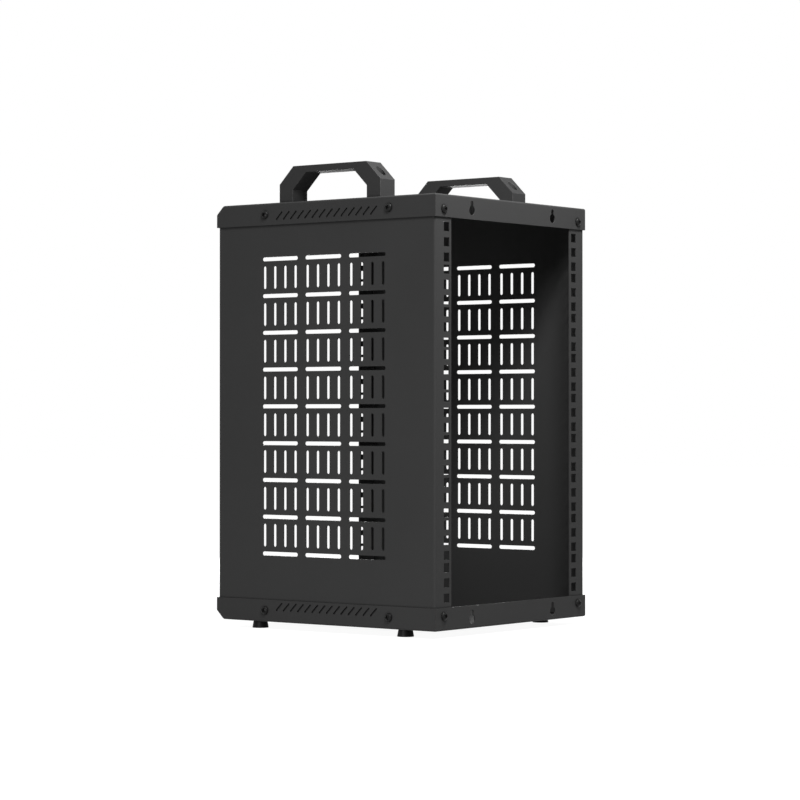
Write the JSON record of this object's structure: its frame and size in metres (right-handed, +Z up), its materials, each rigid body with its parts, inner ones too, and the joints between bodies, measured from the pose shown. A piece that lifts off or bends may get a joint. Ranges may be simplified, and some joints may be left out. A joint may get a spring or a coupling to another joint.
{
  "type": "wall-mount open frame rack",
  "caption": "Open frame equipment rack with folded, slotted side panels, square-hole rails at both ends, tray covers, wall keyholes, carrying handles and rubber feet.",
  "frame": {"origin": "on the floor, under the middle of the side panels", "axes": "+Z up; -Y is the bevelled equipment front and +Y the keyhole end that goes to the wall; +X is the right side seen from the front"},
  "size_m": [0.2856, 0.3046, 0.502],
  "materials": {
    "powder_coat": "fine matt powder coat, dark charcoal",
    "handle_nylon": "matt moulded nylon",
    "foot_rubber": "black moulded rubber",
    "black_screw": "black-oxide steel",
    "zinc_nut": "bright zinc-plated steel"
  },
  "bodies": {
    "root": {"top_cover": "powder_coat", "bottom_cover": "powder_coat", "left_side_panel": "powder_coat", "right_side_panel": "powder_coat", "top_left_clinch_nuts": "powder_coat", "top_right_clinch_nuts": "powder_coat", "bottom_left_clinch_nuts": "powder_coat", "bottom_right_clinch_nuts": "powder_coat", "top_wall_clinch_nuts": "powder_coat", "bottom_wall_clinch_nuts": "powder_coat", "left_handle": "handle_nylon", "right_handle": "handle_nylon", "front_left_foot": "foot_rubber", "front_right_foot": "foot_rubber", "rear_left_foot": "foot_rubber", "rear_right_foot": "foot_rubber", "left_handle_screws": "black_screw", "right_handle_screws": "black_screw", "front_foot_screws": "black_screw", "rear_foot_screws": "black_screw", "top_left_screws": "black_screw", "top_right_screws": "black_screw", "bottom_left_screws": "black_screw", "bottom_right_screws": "black_screw", "top_wall_screws": "black_screw", "bottom_wall_screws": "black_screw", "left_handle_nuts": "zinc_nut", "right_handle_nuts": "zinc_nut", "front_foot_nuts": "zinc_nut", "rear_foot_nuts": "zinc_nut"}
  },
  "joints": []
}
